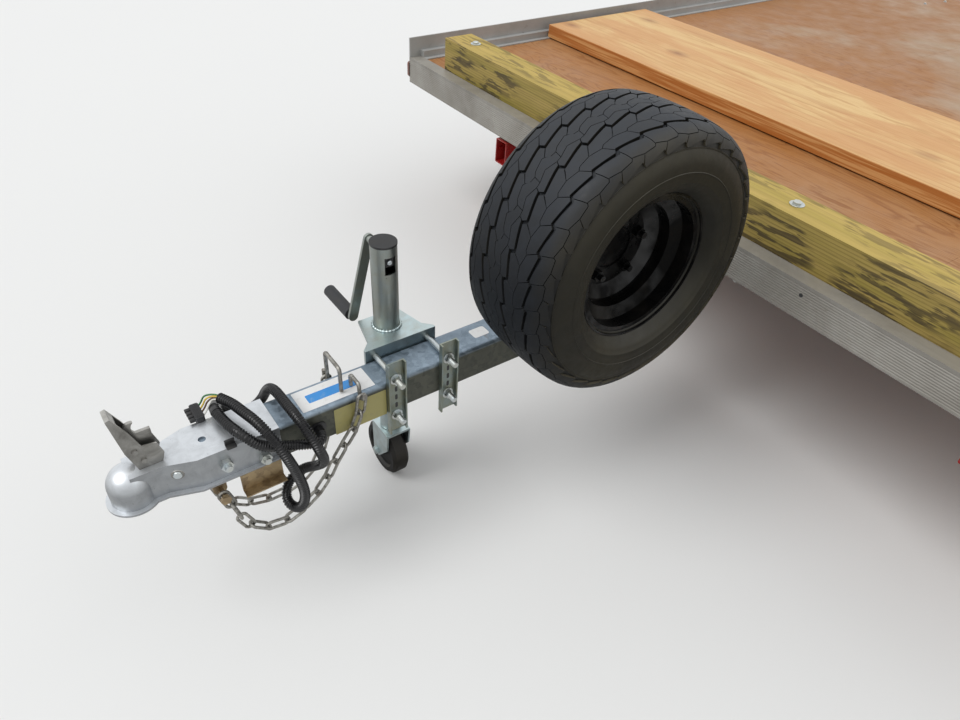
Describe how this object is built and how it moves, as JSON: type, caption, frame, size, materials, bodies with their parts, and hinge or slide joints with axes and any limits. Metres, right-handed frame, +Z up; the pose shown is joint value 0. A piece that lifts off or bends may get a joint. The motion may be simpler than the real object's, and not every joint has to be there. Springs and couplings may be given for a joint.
{
  "type": "snowmobile trailer",
  "caption": "Flat tilt-bed trailer: plywood deck in aluminium rails over the wheels, timber stop, straight tongue with ball coupler, spare wheel and swivel jack.",
  "frame": {"origin": "on the ground on the centre line, half way between the coupler's nose and the rear of the deck", "axes": "+Z up; -Y towards the coupler and the towing vehicle; +X to the trailer's left side"},
  "size_m": [2.5854, 4.3754, 0.9046],
  "materials": {
    "galvanised": "spangled galvanised",
    "red_paint": "satin",
    "black_paint": "satin",
    "zinc": "bright zinc",
    "aluminium": "mill finish",
    "plywood": "oiled",
    "treated_timber": "rough sawn",
    "pine": "planed",
    "tyre": "worn",
    "rubber": "matt",
    "black_plastic": "matt",
    "red_lens": "clear coloured",
    "amber_lens": "clear coloured"
  },
  "bodies": {
    "chassis": {"axle_beam": "black_paint", "axle_saddles": "galvanised", "bed_rests": "rubber", "chain_anchor": "zinc", "chain_hook_left": "zinc", "chain_hook_right": "zinc", "clamp_bolts": "zinc", "clamp_strap_front": "zinc", "clamp_strap_rear": "zinc", "coupler_body": "galvanised", "coupler_bolts": "zinc", "coupler_latch": "zinc", "crank_grip": "black_plastic", "cross_tube_front": "red_paint", "cross_tube_middle": "red_paint", "cross_tube_rear": "red_paint", "jack_bracket": "zinc", "jack_cap": "black_plastic", "jack_crank": "zinc", "jack_tube": "zinc", "loom_grommet": "black_plastic", "loom_plug": "black_plastic", "pivot_shaft": "galvanised", "rail_left": "red_paint", "rail_right": "red_paint", "safety_chain_left": "zinc", "safety_chain_right": "zinc", "spare_carrier": "galvanised", "spare_rim": "black_paint", "spare_tyre": "tyre", "tongue_shoe": "galvanised", "tongue_tube": "galvanised", "torsion_arm_left": "black_paint", "torsion_arm_right": "black_paint", "wiring_loom": "black_plastic"},
    "wheel_left": {"tyre_left": "tyre", "rim_left": "black_paint", "hub_left": "black_paint"},
    "wheel_right": {"tyre_right": "tyre", "rim_right": "black_paint", "hub_right": "black_paint"},
    "bed": {"front_rail": "aluminium", "rear_rail": "aluminium", "side_rail_left": "aluminium", "side_rail_right": "aluminium", "crossmembers": "aluminium", "front_stringers": "aluminium", "hinge_lugs": "aluminium", "hold_down_yoke": "galvanised", "pull_pin": "zinc", "plywood_deck": "plywood", "timber_stop": "treated_timber", "cross_plank": "pine", "tail_lamps": "red_lens", "marker_lamps": "amber_lens"},
    "jack_leg": {"jack_leg": "zinc"},
    "caster_fork": {"caster_fork": "zinc"},
    "caster_wheel": {"caster_wheel": "rubber"}
  },
  "joints": [
    {"name": "wheel_left_spin", "type": "hinge", "parent": "chassis", "child": "wheel_left", "pos_m": [1.09, 0.86323, 0.2605], "axis": [1, 0, 0], "continuous": true},
    {"name": "wheel_right_spin", "type": "hinge", "parent": "chassis", "child": "wheel_right", "pos_m": [-1.09, 0.86323, 0.2605], "axis": [1, 0, 0], "continuous": true},
    {"name": "bed_tilt", "type": "hinge", "parent": "chassis", "child": "bed", "pos_m": [0, 1.04693, 0.46858], "axis": [-1, 0, 0], "range_deg": [0, 20]},
    {"name": "jack_leg_slide", "type": "slide", "parent": "chassis", "child": "jack_leg", "axis": [0, -0.0332, 0.9995], "range_m": [0, 0.105]},
    {"name": "caster_swivel", "type": "hinge", "parent": "jack_leg", "child": "caster_fork", "pos_m": [-0.095, -1.60895, 0.14935], "axis": [0, -0.0332, 0.9995], "continuous": true},
    {"name": "caster_roll", "type": "hinge", "parent": "caster_fork", "child": "caster_wheel", "pos_m": [-0.112, -1.60616, 0.0654], "axis": [0, 0.9995, 0.0332], "continuous": true}
  ]
}
